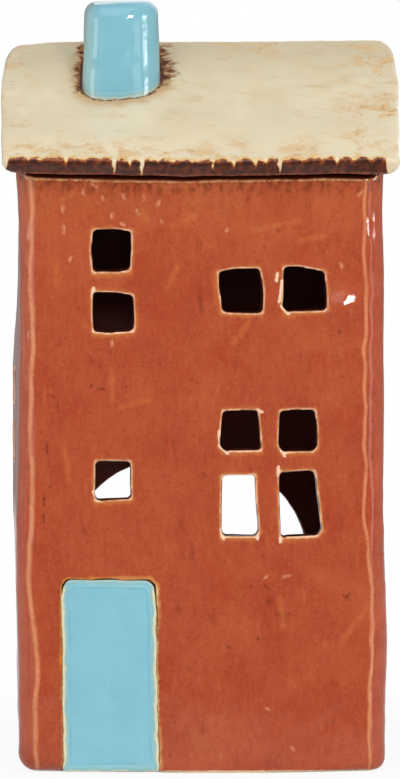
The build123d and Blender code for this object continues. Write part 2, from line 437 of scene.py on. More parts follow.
def clay_skin(obj, voxel, soften):
    """Turn a faceted block into one even skin with softened edges."""
    modifier(obj, "REMESH", mode="VOXEL", voxel_size=voxel, adaptivity=0)
    modifier(obj, "SMOOTH", factor=0.5, iterations=soften)


# Roof planes
slope_up = Vector((0, math.cos(pitch), math.sin(pitch)))
front_out = Vector((0, -math.sin(pitch), math.cos(pitch)))
rear_out = Vector((0, math.sin(pitch), math.cos(pitch)))
front_under_point = Vector((0, -half_depth, wall_top))
rear_under_point = Vector((0, half_depth, wall_top))
front_top_point = front_under_point + ROOF_THICKNESS * front_out
top_ridge = under_ridge + ROOF_THICKNESS / math.cos(pitch)
eave_top = Vector((0, -eave_reach, top_ridge - eave_reach * math.tan(pitch)))


def slice_under_roof(obj):
    """Cut away what stands above the undersides of the two roof slabs."""
    slice_off(obj, front_under_point, front_out)
    slice_off(obj, rear_under_point, rear_out)


# Places on the outer faces of the walls, from millimetres

def on_front(x, z):
    return Vector((x * MM, -half_depth, z * MM))


def on_back(x, z):
    return Vector((x * MM, half_depth, z * MM))


def on_left(y, z):
    return Vector((-half_width, y * MM, z * MM))


def on_right(y, z):
    return Vector((half_width, y * MM, z * MM))


def upright(a, b):
    return abs(a.x - b.x) < 1e-6 and abs(a.y - b.y) < 1e-6


def arch_outline():
    """Straight sides from the floor, then two quarter rounds, in x and z millimetres on the back."""
    left, right = ARCH_X - ARCH_HALF_WIDTH, ARCH_X + ARCH_HALF_WIDTH
    spring = ARCH_TOP - ARCH_RADIUS
    crown = ARCH_HALF_WIDTH - ARCH_RADIUS
    points = [(left, floor_top), (left, spring)]
    for step in range(1, ARCH_STEPS + 1):
        turn = math.pi - step * math.pi / ARCH_STEPS
        side = -crown if step <= ARCH_STEPS / 2 else crown
        points.append((ARCH_X + side + ARCH_RADIUS * math.cos(turn), spring + ARCH_RADIUS * math.sin(turn)))
    points.append((right, floor_top))
    return [(x / MM, z / MM) for x, z in points]


def opening_cuts():
    """Every opening through the walls: name, outline, face, depth and rounding."""
    cuts = [(name, points, on_front, (0, wall, 0), WINDOW_ROUNDING) for name, points in FRONT_WINDOWS.items()]
    for tag, place, depth in (("_left", on_left, (wall, 0, 0)), ("_right", on_right, (-wall, 0, 0))):
        cuts += [(name + tag, points, place, depth, SIDE_ROUNDING) for name, points in SIDE_WINDOWS.items()]
    return cuts + [("rear_arch", arch_outline(), on_back, (0, -wall, 0), SIDE_ROUNDING)]


def make_wall_ring():
    """The four walls as one ring with every opening cut, then skinned and bent by hand."""
    ring = block("wall_ring", (-half_width, -half_depth, 0), (half_width, half_depth, under_ridge + wall))
    slice_under_roof(ring)
    round_edges(ring, lambda a, b: upright(a, b) and abs(a.x) > inner_half_width, CORNER_RADIUS)
    for side in (-1, 1):
        def at_foot(a, b):
            return max(a.z, b.z) < MM and side * (a.x + b.x) / 2 > half_width - CORNER_RADIUS
        round_edges(ring, at_foot, FOOT_CORNER_RADIUS[side], 5)
    hollow = block("hollow", (-inner_half_width, -inner_half_depth, -wall),
                   (inner_half_width, inner_half_depth, under_ridge + 2 * wall))
    round_edges(hollow, upright, INNER_CORNER_RADIUS, 3)
    carve(ring, hollow)
    for side in (-1, 1):
        near, far = sorted((side * (half_depth - SEAM_DEPTH), side * (half_depth + SEAM_CLEAR)))
        carve(ring, block("eave_seam", (-half_width - MM, near, wall_top - SEAM_HEIGHT),
                          (half_width + MM, far, wall_top + SPARE)))
    rims = []
    for cut in opening_cuts():
        cutter, rim = outline_cutter(*cut)
        rims.append(rim)
        carve(ring, cutter)
    recess, door_rim = outline_cutter("door_recess", DOOR_OUTLINE, on_front,
                                      (0, DOOR_RECESS / CUT_PAST, 0), RECESS_ROUNDING)
    carve(ring, recess)
    clay_skin(ring, CLAY_VOXEL, 2)
    measure_walls(ring, rims, door_rim)
    hand_wobble(ring)
    return ring


def away_from(rows, marks):
    """Distance of every place on the front face from the nearest mark; far off elsewhere."""
    nearest = np.full(len(rows), FAR)
    places = rows[:, [0, 2]]
    for x1, z1, x2, z2 in marks:
        start, along = np.array((x1, z1)), np.array((x2 - x1, z2 - z1))
        share = np.clip((places - start) @ along / (along @ along), 0, 1)
        nearest = np.minimum(nearest, np.linalg.norm(places - start - share[:, None] * along, axis=1))
    return np.where(rows[:, 1] < -half_depth / MM + 1, nearest, FAR)


def measure_walls(ring, rims, door_rim):
    """Keep, per vertex, how far it is from cut edges, the door and the corners, and how deep it lies."""
    cut_edges = distance_tree([dot for rim in rims for dot in dots_along(rim)])
    rim, sill = [], []
    for v in ring.data.vertices:
        nearest, _, away = cut_edges.find(v.co)
        rim.append(away / MM)
        sill.append(max(0.0, (nearest.z - v.co.z) / max(away, 0.1 * MM)))
    store(ring, "rim", rim)
    store(ring, "sill", sill)
    store(ring, "door_rim", how_far(ring, door_rim))
    rows = spots(ring)
    aside, forth, height = np.abs(rows[:, 0]), np.abs(rows[:, 1]), rows[:, 2]
    radius = CORNER_RADIUS / MM
    past_x = aside - half_width / MM + radius
    past_y = forth - half_depth / MM + radius
    round_x, round_y = np.maximum(past_x, 0), np.maximum(past_y, 0)
    outside = np.hypot(round_x, round_y) + np.minimum(np.maximum(past_x, past_y), 0)
    store(ring, "depth", np.where(height > floor_top / MM - 0.5, radius - outside, 0))
    turn = np.arctan2(round_x, round_y)
    store(ring, "edge", np.where(past_x < 0, past_x, radius * turn))
    store(ring, "side_edge", np.where(past_y < 0, past_y, radius * (math.pi / 2 - turn)))
    for name, marks in (("nick", NICKS_AND_GLINTS), ("speck", THIN_SPOTS_AND_GLINTS), ("pit", PITS), ("stroke", STROKES)):
        store(ring, name, away_from(rows, marks))
    store(ring, "below_roof", under_ridge / MM - forth * math.tan(pitch) - height)
    store(ring, "eave_side", np.clip(forth - half_depth / MM + 3.5, 0, 1))


def part_walls(ring):
    """Part the ring at its four mitred corners into the four walls."""
    front_left, front_right = (-half_width, -half_depth, 0), (half_width, -half_depth, 0)
    back_left, back_right = (-half_width, half_depth, 0), (half_width, half_depth, 0)
    return part(ring, {
        "front_wall": [(front_right, (1, 1, 0)), (front_left, (-1, 1, 0))],
        "back_wall": [(back_right, (1, -1, 0)), (back_left, (-1, -1, 0))],
        "left_wall": [(front_left, (1, -1, 0)), (back_left, (1, 1, 0))],
        "right_wall": [(front_right, (-1, -1, 0)), (back_right, (-1, 1, 0))],
    })


def round_end(roof, side, way, height, radius, leans):
    """Round one end of the roof block with a fan of cuts, at its ridge or at its eaves."""
    for lean in leans:
        out, along = math.sin(math.radians(lean)), math.cos(math.radians(lean))
        point = (side * (roof_half_width - radius * (1 - out)), 0, height - way * radius * (1 - along))
        slice_off(roof, point, (side * out, 0, way * along))


def make_roof():
    """Both roof slabs as one bent slab, skinned, then parted at the ridge."""
    roof = block("roof", (-roof_half_width, -eave_reach, wall_top - ROOF_BLOCK_DROP),
                 (roof_half_width, eave_reach, top_ridge + SPARE))
    slice_off(roof, (0, 0, top_ridge), front_out)
    slice_off(roof, (0, 0, top_ridge), rear_out)
    slice_off(roof, eave_top, -slope_up)
    slice_off(roof, Vector((0, -eave_top.y, eave_top.z)), Vector((0, slope_up.y, -slope_up.z)))
    for side in (-1, 1):
        round_end(roof, side, 1, top_ridge, ROOF_END_RADIUS[side], ROOF_END_LEANS)
        round_end(roof, side, -1, roof_low[2], EAVE_END_RADIUS, EAVE_END_LEANS)
    below = block("below_roof", (-half_width * 2, -half_depth * 2, wall_top - BELOW_BLOCK_DROP),
                  (half_width * 2, half_depth * 2, top_ridge + SPARE))
    slice_under_roof(below)
    carve(roof, below)
    modifier(roof, "BEVEL", width=1.1 * MM, segments=3, limit_method="ANGLE", angle_limit=math.radians(28))
    clay_skin(roof, CLAY_VOXEL, 5)
    measure_roof(roof)
    hand_wobble(roof, slow=1.7 * MM, quick=0.6 * MM)
    ridge = (0, 0, 0)
    return part(roof, {"front_roof_slab": [(ridge, (0, 1, 0))], "rear_roof_slab": [(ridge, (0, -1, 0))]})


def bowed(x, y):
    """The chimney's bowed front: where a place at x and y is set back to, most at the right."""
    share = min(1.0, max(0.0, (chimney_high[1] - y) / (chimney_high[1] - chimney_low[1])))
    return y + share * CHIMNEY_BOW * ((x - chimney_middle[0]) / chimney_half[0] + CHIMNEY_BOW_SHIFT) ** 2


def chimney_foot_outline():
    """Where the chimney's sides meet the front slope."""
    loop = []
    for step in range(CHIMNEY_FOOT_STEPS):
        turn = 2 * math.pi * step / CHIMNEY_FOOT_STEPS
        c, s = math.cos(turn), math.sin(turn)
        x = chimney_middle[0] + chimney_half[0] * math.copysign(abs(c) ** 0.5, c)
        y = bowed(x, chimney_middle[1] + chimney_half[1] * math.copysign(abs(s) ** 0.5, s))
        loop.append(Vector((x, y, top_ridge - abs(y) * math.tan(pitch))))
    return loop


def measure_roof(roof):
    """Keep, per vertex, how far it is up from the eave, under the slope and from the chimney's foot."""
    folded = [Vector((v.co.x, -abs(v.co.y), v.co.z)) - eave_top for v in roof.data.vertices]
    store(roof, "up_slope", [place.dot(slope_up) / MM for place in folded])
    store(roof, "under", [-place.dot(front_out) / MM for place in folded])
    store(roof, "foot", how_far(roof, chimney_foot_outline()))


def make_chimney():
    """A rounded block, narrower at its top and front, bowed, with its foot cut to the front slope."""
    low = (chimney_low[0], chimney_low[1], chimney_low[2] - SPARE)
    chimney = block("glazed_chimney", low, chimney_high)
    top = [v for v in chimney.data.vertices if v.co.z > chimney_high[2] - MM]
    middle = sum((v.co for v in top), Vector()) / len(top)
    for v in top:
        v.co.x = middle.x + (v.co.x - middle.x) * CHIMNEY_TOP_WIDTH
        v.co.y = middle.y + (v.co.y - middle.y) * CHIMNEY_TOP_DEPTH
    for v in chimney.data.vertices:
        if v.co.y < middle.y:
            v.co.x = middle.x + (v.co.x - middle.x) * CHIMNEY_FRONT_WIDTH
    round_edges(chimney, lambda a, b: abs(a.z - b.z) > MM, CHIMNEY_CORNER_RADIUS)
    round_edges(chimney, lambda a, b: min(a.z, b.z) > chimney_high[2] - 0.1 * MM, CHIMNEY_TOP_RADIUS, 5)
    slice_off(chimney, front_top_point - CHIMNEY_ROUGH_SUNK * front_out, -front_out)
    clay_skin(chimney, CHIMNEY_VOXEL, 6)
    for v in chimney.data.vertices:
        v.co.y = bowed(v.co.x, v.co.y)
    slice_off(chimney, front_top_point - CHIMNEY_SUNK * front_out, -front_out)
    store(chimney, "foot", how_far(chimney, chimney_foot_outline()))
    hand_wobble(chimney, slow=1.7 * MM, quick=0.25 * MM, finger=0.03 * MM)
    shade(chimney)
    return chimney


def make_door():
    """The door panel, pressed into its recess until only a shallow groove is left round it."""
    middle = sum(x for x, z in DOOR_OUTLINE) / len(DOOR_OUTLINE)
    points = []
    for x, z in DOOR_OUTLINE:
        if not 0 < z < 5:
            inset = DOOR_INSET_LEFT if x < middle else DOOR_INSET_RIGHT
            inset = DOOR_INSET_TOP if z > DOOR_TOP_FROM else inset
            points.append((x - inset * math.copysign(1, x - middle), max(z, door_low[2] / MM)))
    door, rim = outline_cutter("glazed_door_panel", points, on_front,
                               (0, DOOR_THICKNESS / CUT_LENGTH, 0), DOOR_ROUNDING)
    edit_all(door)
    bpy.ops.transform.translate(value=(0, -DOOR_PROUD, 0))
    leave_edit()
    modifier(door, "BEVEL", width=0.7 * MM, segments=4, limit_method="ANGLE", angle_limit=math.radians(60))
    clay_skin(door, DOOR_VOXEL, 4)
    store(door, "rim", how_far(door, rim))
    hand_wobble(door)
    shade(door)
    return door


def make_floor():
    """The floor slab, a little uneven, its edge tight against the walls."""
    uneven = 0.12 * MM
    slab = block("glazed_floor_slab", floor_low, floor_high)
    clay_skin(slab, FLOOR_VOXEL, 1)
    for v in slab.data.vertices:
        if v.co.z > floor_top - MM:
            v.co.z += uneven * noise.noise(v.co / (7 * MM)) - uneven
    shade(slab)
    return slab


# The tealight, turned ring by ring about its own upright axis

cup_middle = (Vector(cup_low) + Vector(cup_high)) / 2
POLE = 0.02 * MM
FOIL = 0.3 * MM
FLUTES = 32
FLUTE_PRESS = 0.12 * MM
CUP_STEPS = 12
WAX_STEPS = 10
WICK_RINGS = 60
WICK_TWIST = 4.2 * MM


def radius_of(low, high):
    return (high[0] - low[0]) / 2


def turned(name, profile, segments):
    """Raise a circle through a profile of radius and height; shut poles and meeting ends."""
    bpy.ops.object.select_all(action="DESELECT")
    radius, height = profile[0]
    bpy.ops.mesh.primitive_circle_add(vertices=segments, radius=radius, fill_type="NOTHING",
                                      location=(cup_middle.x, cup_middle.y, height))
    obj = bpy.context.object
    obj.name = name
    bpy.ops.object.transform_apply(location=True, rotation=True, scale=True)
    edit_all(obj)
    for next_radius, next_height in profile[1:]:
        bpy.ops.mesh.extrude_edges_move(TRANSFORM_OT_translate={"value": (0, 0, next_height - height)})
        grow = next_radius / radius
        bpy.ops.transform.resize(value=(grow, grow, 1),
                                 center_override=(cup_middle.x, cup_middle.y, next_height))
        radius, height = next_radius, next_height
    bpy.ops.mesh.select_all(action="SELECT")
    bpy.ops.mesh.remove_doubles(threshold=0.05 * MM)
    bpy.ops.mesh.normals_make_consistent(inside=False)
    leave_edit()
    return obj


def make_cup():
    """Pressed foil cup: stepped foot, fluted wall, rolled rim."""
    outer = radius_of(cup_low, cup_high)
    foot, rim = cup_low[2], cup_high[2]
    body = outer - 0.8 * MM
    raised = foot + 0.5 * MM
    rise = rim - foot - 2.6 * MM
    profile = [(POLE, raised), (body * 0.55, raised), (body * 0.6, foot),
               (body - 0.8 * MM, foot), (body - 0.2 * MM, foot + 0.3 * MM), (body, foot + 1.0 * MM)]
    for step in range(1, CUP_STEPS + 1):
        profile.append((body, foot + 1.0 * MM + step * rise / CUP_STEPS))
    profile += [(body + 0.1 * MM, rim - 1.2 * MM), (outer - 0.3 * MM, rim - 1.0 * MM), (outer, rim - 0.6 * MM),
                (outer - 0.1 * MM, rim - 0.2 * MM), (outer - 0.4 * MM, rim), (outer - 0.8 * MM, rim - 0.15 * MM),
                (body - FOIL, rim - 0.7 * MM)]
    for step in range(CUP_STEPS):
        profile.append((body - FOIL, rim - 1.6 * MM - step * rise / CUP_STEPS))
    profile += [(body - FOIL - 0.5 * MM, foot + FOIL), (body * 0.6, foot + FOIL),
                (body * 0.55, raised + FOIL), (POLE, raised + FOIL)]
    cup = turned("foil_cup", profile, FLUTES * 6)
    for v in cup.data.vertices:
        out = Vector((v.co.x - cup_middle.x, v.co.y - cup_middle.y))
        along = (v.co.z - foot) / (rim - foot)
        press = FLUTE_PRESS * max(0.0, 1 - abs(2 * along - 1) ** 4) if out.length > body * 0.9 else 0
        out *= 1 + press * math.cos(FLUTES * math.atan2(out.y, out.x)) / max(out.length, POLE)
        v.co.x, v.co.y = cup_middle.x + out.x, cup_middle.y + out.y
    shade(cup)
    return cup


def make_wax():
    """Poured wax: it climbs a little at the cup and at the wick, and sinks between them."""
    radius = radius_of(wax_low, wax_high) - 0.15 * MM
    foot, top = wax_low[2] + 0.55 * MM, wax_high[2]
    bore, neck = 0.9 * MM, 1.7 * MM
    tab_reach = radius_of(tab_low, tab_high)
    profile = [(tab_reach, foot), (radius - 0.6 * MM, foot), (radius, foot + 0.6 * MM), (radius, top - 1.0 * MM),
               (radius, top - 0.1 * MM), (radius - 0.15 * MM, top)]
    for step in range(1, WAX_STEPS):
        share = step / WAX_STEPS
        sunk = 0.45 * MM * math.sin(math.pi * share) ** 0.6
        profile.append((radius * (1 - share) + bore * share, top - sunk))
    profile += [(bore + 0.5 * MM, top - 0.08 * MM), (bore, top), (bore, tab_high[2]), (neck, tab_high[2]),
                (neck, foot + 0.5 * MM), (tab_reach, foot + 0.5 * MM), (tab_reach, foot)]
    wax = turned("poured_wax", profile, 96)
    for v in wax.data.vertices:
        if v.co.z > top - MM:
            v.co.z += 0.1 * MM * noise.noise(v.co / (5 * MM))
    shade(wax)
    return wax


def make_wick():
    """Braided wick: three strands twisted together, leaning over a little at its tip."""
    radius = radius_of(wick_low, wick_high) - 0.08 * MM
    foot, top = wick_low[2], wick_high[2]
    profile = [(POLE, foot), (radius * 0.7, foot)]
    profile += [(radius, foot + (top - foot) * step / WICK_RINGS) for step in range(1, WICK_RINGS)]
    profile += [(radius * 0.75, top - 0.05 * MM), (POLE, top)]
    wick = turned("braided_wick", profile, 24)
    for v in wick.data.vertices:
        out = Vector((v.co.x - cup_middle.x, v.co.y - cup_middle.y))
        turn = math.atan2(out.y, out.x) - 2 * math.pi * (v.co.z - foot) / WICK_TWIST
        out *= 0.9 + 0.13 * abs(math.cos(1.5 * turn))
        lean = max(0.0, (v.co.z - wax_high[2]) / (top - wax_high[2])) ** 2
        v.co.x, v.co.y = cup_middle.x + out.x + 0.5 * MM * lean, cup_middle.y + out.y - 0.3 * MM * lean
    shade(wick)
    return wick


def make_tab():
    """Wick tab: a thin disc drawn up into a neck that grips the wick."""
    reach = radius_of(tab_low, tab_high)
    foot, top = tab_low[2], tab_high[2]
    sheet = 0.4 * MM
    bore = 0.85 * MM
    profile = [(bore, foot + 0.05 * MM), (reach - 0.3 * MM, foot), (reach, foot + 0.1 * MM),
               (reach - 0.1 * MM, foot + sheet), (2.3 * MM, foot + sheet), (1.65 * MM, foot + sheet + 0.4 * MM),
               (1.55 * MM, top - 0.9 * MM), (1.3 * MM, top - 0.5 * MM), (1.25 * MM, top), (bore, top),
               (bore, foot + 0.05 * MM)]
    tab = turned("wick_holder", profile, 48)
    shade(tab)
    return tab


# Finishes; tones are as seen on the piece, red, green and blue from 0 to 255

def glaze_colour(red, green, blue):
    """A tone as the linear colour that shaders want."""
    def linear(level):
        level /= 255
        return level / 12.92 if level <= 0.04045 else ((level + 0.055) / 1.055) ** 2.4
    return (linear(red), linear(green), linear(blue), 1.0)


class Wiring:
    """A shader being wired up: each call adds a node and returns its output."""

    def __init__(self, tree):
        self.nodes, self.links = tree.nodes, tree.links

    def add(self, kind, **settings):
        node = self.nodes.new(kind)
        for key, value in settings.items():
            setattr(node, key, value)
        return node

    def feed(self, socket, value):
        """Join an output to a socket, or set the socket to a plain value or a tone."""
        if isinstance(value, bpy.types.NodeSocket):
            self.links.new(value, socket)
        elif isinstance(value, tuple):
            socket.default_value = glaze_colour(*value)
        else:
            socket.default_value = value

    def maths(self, operation, *values, clamp=False):
        """Work through the values from the left, two at a time."""
        total = values[0]
        for value in values[1:]:
            node = self.add("ShaderNodeMath", operation=operation, use_clamp=clamp)
            self.feed(node.inputs[0], total)
            self.feed(node.inputs[1], value)
            total = node.outputs[0]
        return total

    plus = partialmethod(maths, "ADD")
    minus = partialmethod(maths, "SUBTRACT")
    times = partialmethod(maths, "MULTIPLY")
    over = partialmethod(maths, "DIVIDE")
    larger = partialmethod(maths, "MAXIMUM")
    smaller = partialmethod(maths, "MINIMUM")

    def size(self, value):
        return self.maths("ABSOLUTE", value, 0.0)

    def ragged(self, value, unevenness, amount):
        """A measure made uneven by so much of some noise."""
        return self.plus(value, self.times(unevenness, amount))

    def fade(self, value, start, end, low=0.0, high=1.0):
        """Smooth step from low to high as the value goes from start to end."""
        node = self.add("ShaderNodeMapRange", interpolation_type="SMOOTHSTEP")
        for socket, level in zip(node.inputs, (value, start, end, low, high)):
            self.feed(socket, level)
        return node.outputs[0]

    def split(self, vector, letter):
        node = self.add("ShaderNodeSeparateXYZ")
        self.links.new(vector, node.inputs[0])
        return node.outputs[letter]

    def between(self, first, second, share):
        """A plain value on its way from the first to the second."""
        node = self.add("ShaderNodeMix")
        for name, value in (("Factor", share), ("A", first), ("B", second)):
            self.feed(node.inputs[name], value)
        return node.outputs["Result"]


class Finish(Wiring):
    """One material being made, from a first colour and the coats laid over it."""

    def __init__(self, name):
        self.material = bpy.data.materials.new(name)
        self.material.use_nodes = True
        super().__init__(self.material.node_tree)
        self.shader = self.nodes["Principled BSDF"]
        self.place = self.add("ShaderNodeTexCoord").outputs["Object"]
        self.colour = None

    def set(self, **inputs):
        for key, value in inputs.items():
            self.feed(self.shader.inputs[key.replace("_", " ").title().replace("Ior", "IOR")], value)

    def measure(self, name):
        return self.add("ShaderNodeAttribute", attribute_name=name).outputs["Fac"]

    def axis(self, letter):
        """One coordinate of the place on the piece, in millimetres."""
        return self.times(self.split(self.place, letter), 1 / MM)

    def stretched(self, x, y, z, turn=0.0):
        """The place turned about Y and with each axis scaled, for strokes and streaks."""
        node = self.add("ShaderNodeMapping")
        self.links.new(self.place, node.inputs["Vector"])
        node.inputs["Rotation"].default_value = (0, turn, 0)
        node.inputs["Scale"].default_value = (x, y, z)
        return node.outputs[0]

    def noise(self, size, detail=3.0, rough=0.55, bend=0.0, place=None):
        """Cloudy noise whose patches are about so many millimetres across."""
        node = self.add("ShaderNodeTexNoise")
        self.links.new(place or self.place, node.inputs["Vector"])
        node.inputs["Scale"].default_value = 1 / (size * MM)
        node.inputs["Detail"].default_value = detail
        node.inputs["Roughness"].default_value = rough
        node.inputs["Distortion"].default_value = bend
        return node.outputs["Fac"]

    def dots(self, size, reach, chance):
        """Sparse round specks: cells of one size, specks of one reach, some cells only."""
        node = self.add("ShaderNodeTexVoronoi")
        self.links.new(self.place, node.inputs["Vector"])
        node.inputs["Scale"].default_value = 1 / (size * MM)
        speck = self.fade(node.outputs["Distance"], reach, reach * 0.55)
        draw = self.add("ShaderNodeSeparateColor")
        self.links.new(node.outputs["Color"], draw.inputs[0])
        return self.times(speck, self.maths("LESS_THAN", draw.outputs[0], chance))

    def start(self, value, *stops):
        """The first colour: tones set along the way of a value from 0 to 1."""
        node = self.add("ShaderNodeValToRGB")
        self.feed(node.inputs[0], value)
        while len(node.color_ramp.elements) < len(stops):
            node.color_ramp.elements.new(0.5)
        for element, (place, tone) in zip(node.color_ramp.elements, stops):
            element.position = place
            element.color = glaze_colour(*tone)
        self.colour = node.outputs["Color"]

    def lay(self, under, over, cover):
        """Lay one colour over another where the cover says."""
        node = self.add("ShaderNodeMix", data_type="RGBA")
        self.feed(node.inputs[0], cover)
        self.feed(node.inputs[6], under)
        self.feed(node.inputs[7], over)
        return node.outputs[2]

    def coat(self, tone, cover):
        """Lay a tone over all that is there so far."""
        self.colour = self.lay(self.colour, tone, cover)

    def wash(self, tone, value, start, end, most=1.0):
        """Lay a tone on as a value goes from start to end."""
        self.coat(tone, self.fade(value, start, end, 0.0, most))

    def two_tone(self, value, dark, light, smooth, rough, **inputs):
        """Two tones and two roughnesses that follow one noise."""
        self.start(value, (0.3, dark), (0.7, light))
        self.set(base_color=self.colour, roughness=self.fade(value, 0.3, 0.7, smooth, rough), **inputs)

    def relief(self, *layers):
        """Stack bumps, each a height, a strength and a depth in millimetres."""
        normal = None
        for height, strength, depth in layers:
            node = self.add("ShaderNodeBump")
            node.inputs["Strength"].default_value = strength
            node.inputs["Distance"].default_value = depth * MM
            self.links.new(height, node.inputs["Height"])
            if normal:
                self.links.new(normal, node.inputs["Normal"])
            normal = node.outputs["Normal"]
        self.links.new(normal, self.shader.inputs["Normal"])


def orange_wall_glaze():
    """Terracotta glaze: brushed and mottled, breaking pale at cut edges, dark inside, bare clay at the foot."""
    f = Finish("orange_wall_glaze")
    x, height = f.axis("X"), f.axis("Z")
    cut, sill, door = f.measure("rim"), f.measure("sill"), f.measure("door_rim")
    depth, below_roof, eave_side = f.measure("depth"), f.measure("below_roof"), f.measure("eave_side")
    grain = f.noise(0.6, 3, 0.65)
    broken = f.noise(1.6, 3, 0.65)

    # mottled body, lighter near the top, brushed and grained
    f.start(f.noise(9, 4, 0.6, 0.4), (0.3, (166, 68, 40)), (0.5, (173, 76, 47)), (0.72, (180, 86, 52)))
    uneven_height = f.plus(height, f.fade(f.noise(12, 3, 0.6), 0.3, 0.7, -6.0, 6.0))
    f.wash((192, 102, 60), uneven_height, 100, 122, 0.5)
    brushed = f.noise(1.1, 3, 0.6, 0.3, f.stretched(1, 1, 0.35))
    f.wash((152, 61, 36), brushed, 0.52, 0.74, 0.45)
    f.wash((192, 101, 62), brushed, 0.46, 0.28, 0.35)
    f.wash((138, 52, 30), grain, 0.54, 0.72, 0.5)
    f.wash((200, 118, 78), grain, 0.42, 0.26, 0.35)
    smudge = f.noise(5, 4, 0.65, 0.6, f.stretched(1, 1, 0.5))
    f.wash((122, 48, 27), smudge, 0.6, 0.78, 0.6)
    stroke = f.noise(2.6, 2, 0.5, 0.3, f.stretched(1, 1, 0.25, turn=0.6))
    f.wash((198, 112, 62), stroke, 0.66, 0.8, 0.4)

    # brown that ran down from the eave
    run = f.noise(1.3, 4, 0.65, 0.3, f.stretched(1, 1, 0.5))
    near_eave = f.fade(f.minus(below_roof, f.times(run, 7.0)), 2.5, -1.0)
    f.coat((118, 50, 26), f.times(near_eave, f.fade(run, 0.42, 0.6, 0.1, 0.7)))

    # scattered pits, then the strokes, thin spots with painted glints among them, and pits that have a place of
    # their own
    pits = f.dots(7, 0.045, 0.16)
    f.coat((58, 24, 14), pits)
    f.wash((200, 114, 62), f.ragged(f.measure("stroke"), broken, 1.6), 1.9, 0.6, 0.42)
    # pale specks: thin glaze, and under the eave painted highlights where small dents catch the light
    f.wash((222, 150, 114), f.ragged(f.measure("speck"), grain, 0.9), 0.98, 0.45, 0.7)
    f.wash((94, 36, 20), f.ragged(f.measure("pit"), grain, 0.8), 0.8, 0.4, 0.7)

    # pale lines along the upright corners: the glaze thinning there, and a painted highlight where the corners
    # catch the side light
    shift = f.fade(f.noise(16, 2, 0.5), 0.3, 0.7, -0.5, 0.5)
    drift = f.lay(f.fade(height, 8, 55, 0.0, 1.2), f.fade(height, 65, 25, 0.0, 0.7), f.fade(x, -5, 5))
    edge = f.minus(f.plus(f.measure("edge"), shift), drift)
    edge = f.times(edge, f.fade(x, -5, 5, 1.0, 1.45))
    at_front = f.times(f.fade(edge, -0.7, 0.1), f.fade(edge, 0.9, 0.3))
    side_edge = f.plus(f.measure("side_edge"), shift)
    at_side = f.times(f.fade(side_edge, -1.2, 0.3), f.fade(side_edge, 2.2, 0.3, 0.0, 0.3))
    thin_glaze_and_highlight = f.times(f.larger(at_front, at_side), f.fade(f.noise(8, 3, 0.6), 0.35, 0.55, 0.6, 1.0))
    f.coat((224, 148, 102), f.times(thin_glaze_and_highlight, f.fade(grain, 0.2, 0.6, 0.95, 0.65)))

    # ochre halo round the openings and the door
    halo_reach = f.plus(f.fade(broken, 0.3, 0.7, 0.35, 1.3), f.times(sill, 0.5))
    halo = f.maths("SUBTRACT", 1.0, f.over(cut, halo_reach), clamp=True)
    f.coat((204, 128, 62), f.times(halo, 0.8))
    door_halo = f.plus(f.times(broken, 1.1), f.fade(f.noise(7, 2, 0.5), 0.35, 0.65, 0.0, 0.5))
    door_halo = f.fade(f.plus(door, door_halo), 1.75, 0.95, 0.0, 0.85)
    across_door = f.fade(x, -22, -14)
    f.coat(f.lay((222, 140, 54), (212, 136, 76), across_door), door_halo)

    # pale seam below the eave, and painted shade in the crevice under it
    seam = f.plus(f.size(f.minus(below_roof, 2.55)), f.ragged(broken, grain, 0.6))
    f.coat((214, 156, 100), f.times(f.fade(seam, 1.1, 0.75, 0.0, 0.9), eave_side))
    # painted shade in the crevice under the eave
    f.coat((70, 25, 12), f.times(f.fade(below_roof, 2.45, 2.1), eave_side))

    # dark in the cuts, dull inside the house, and the gap round the door, darker at the right, with painted
    # shade along its top
    f.wash((40, 13, 6), depth, 0.3, 0.8)
    f.wash((120, 46, 30), depth, 2.2, 4.2)
    in_recess = f.times(f.fade(door, 1.8, 1.0), f.fade(depth, 2.3, 1.9))
    gap = f.lay((214, 142, 68), (120, 66, 36), across_door)
    # painted shade along the top of the door's gap
    gap = f.lay(gap, (50, 27, 16), f.fade(height, 36.8, 38.0))
    f.coat(gap, f.times(in_recess, f.fade(depth, 0.15, 0.4)))

    # pale broken edges of the openings, burrs with a few painted glints among them, and the door's edge
    pale = f.fade(f.ragged(cut, broken, 0.9), 0.95, 0.6, 0.0, 0.95)
    f.coat((246, 198, 160), f.times(pale, f.fade(sill, 0.0, 0.8, 0.7, 1.0)))
    # pale burrs, a few of them painted highlights: glints on the cut edges
    burr_and_glint = f.fade(f.ragged(f.measure("nick"), grain, 0.4), 0.66, 0.42, 0.0, 0.9)
    f.coat((248, 208, 174), f.times(burr_and_glint, f.fade(depth, 0.6, 0.3)))
    pale_door = f.fade(f.ragged(door, broken, 0.8), 0.85, 0.6, 0.0, 0.8)
    pale_door = f.times(pale_door, f.fade(height, 38.4, 37.0, 0.15, 1.0))
    f.coat(f.lay((234, 178, 96), (240, 208, 156), across_door), pale_door)

    # bare clay at the foot
    f.wash((214, 188, 150), f.ragged(height, broken, 0.5), 0.9, 0.6)
    gloss = f.fade(f.noise(5, 3, 0.6), 0.3, 0.75, 0.07, 0.17)
    f.set(base_color=f.colour, roughness=f.plus(gloss, f.fade(depth, 1.0, 3.0, 0.0, 0.4)))
    f.relief((f.noise(7, 2, 0.5), 0.16, 0.5), (f.noise(1.7, 2, 0.5), 0.2, 0.12), (pits, 0.5, -0.2),
             (burr_and_glint, 0.4, 0.15))
    return f.material


